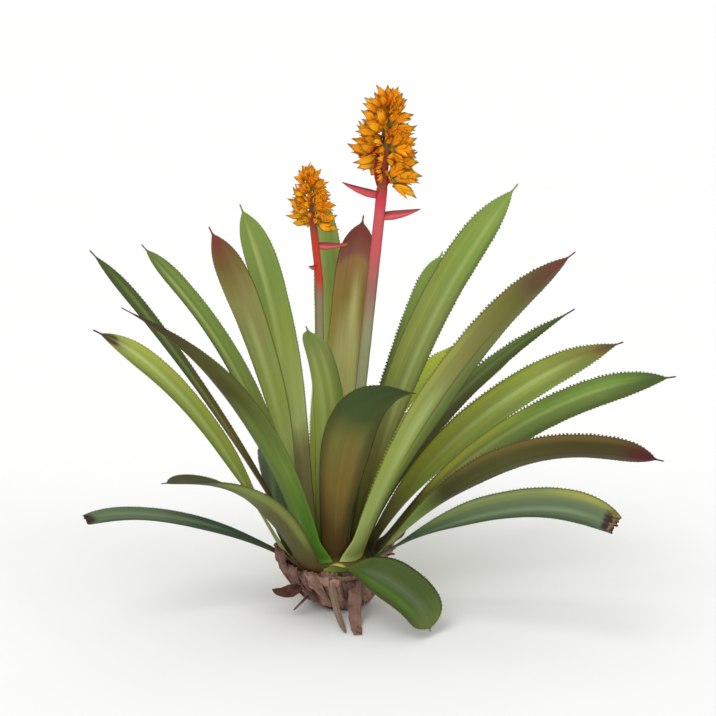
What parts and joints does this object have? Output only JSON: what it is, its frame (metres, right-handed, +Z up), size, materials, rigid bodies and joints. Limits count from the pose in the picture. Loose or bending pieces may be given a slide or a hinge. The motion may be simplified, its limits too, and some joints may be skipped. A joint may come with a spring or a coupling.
{
  "type": "bromeliad plant",
  "caption": "Flowering bromeliad lifted from its pot: a rosette of toothed strap leaves, two stalks with spiky orange heads and pink bracts, and dry sheaths round a flat-footed stump.",
  "frame": {"origin": "middle of the stump's flat foot, on the surface that the plant stands on", "axes": "+Z up; +X to the right and -Y towards the viewer as the plant is seen from its front"},
  "size_m": [0.7453, 0.5771, 0.6883],
  "materials": {
    "leaf_green": "satin living leaf",
    "leaf_lime": "satin living leaf",
    "leaf_olive": "satin living leaf",
    "leaf_dark": "satin living leaf",
    "leaf_grey": "satin living leaf",
    "stalk_pink": "satin living stalk",
    "floret_orange": "satin living bracts",
    "dry_brown": "matt dry leaf",
    "stump_brown": "matt woody stem"
  },
  "bodies": {
    "root": {"dry_leaf_curled": "dry_brown", "dry_scrap_left": "dry_brown", "dry_scrap_right": "dry_brown", "dry_sheath_1": "dry_brown", "dry_sheath_2": "dry_brown", "dry_sheath_3": "dry_brown", "dry_sheath_4": "dry_brown", "dry_sheath_5": "dry_brown", "dry_sheath_6": "dry_brown", "dry_sheath_7": "dry_brown", "dry_strip_thick": "dry_brown", "dry_strip_thin": "dry_brown", "head_short": "floret_orange", "head_tall": "floret_orange", "leaf_01": "leaf_green", "leaf_02": "leaf_olive", "leaf_03": "leaf_green", "leaf_04": "leaf_green", "leaf_05": "leaf_olive", "leaf_06": "leaf_olive", "leaf_07": "leaf_green", "leaf_08": "leaf_green", "leaf_09": "leaf_green", "leaf_10": "leaf_olive", "leaf_11": "leaf_lime", "leaf_12": "leaf_lime", "leaf_13": "leaf_dark", "leaf_14": "leaf_dark", "leaf_15": "leaf_lime", "leaf_16": "leaf_lime", "leaf_17": "leaf_green", "leaf_18": "leaf_lime", "leaf_19": "leaf_lime", "leaf_20": "leaf_green", "leaf_21": "leaf_olive", "leaf_22": "leaf_grey", "leaf_23": "leaf_green", "leaf_24": "leaf_olive", "leaf_25": "leaf_grey", "leaf_26": "leaf_green", "leaf_27": "leaf_green", "leaf_28": "leaf_grey", "stalk_short": "stalk_pink", "stalk_tall": "stalk_pink", "stump": "stump_brown"}
  },
  "joints": []
}
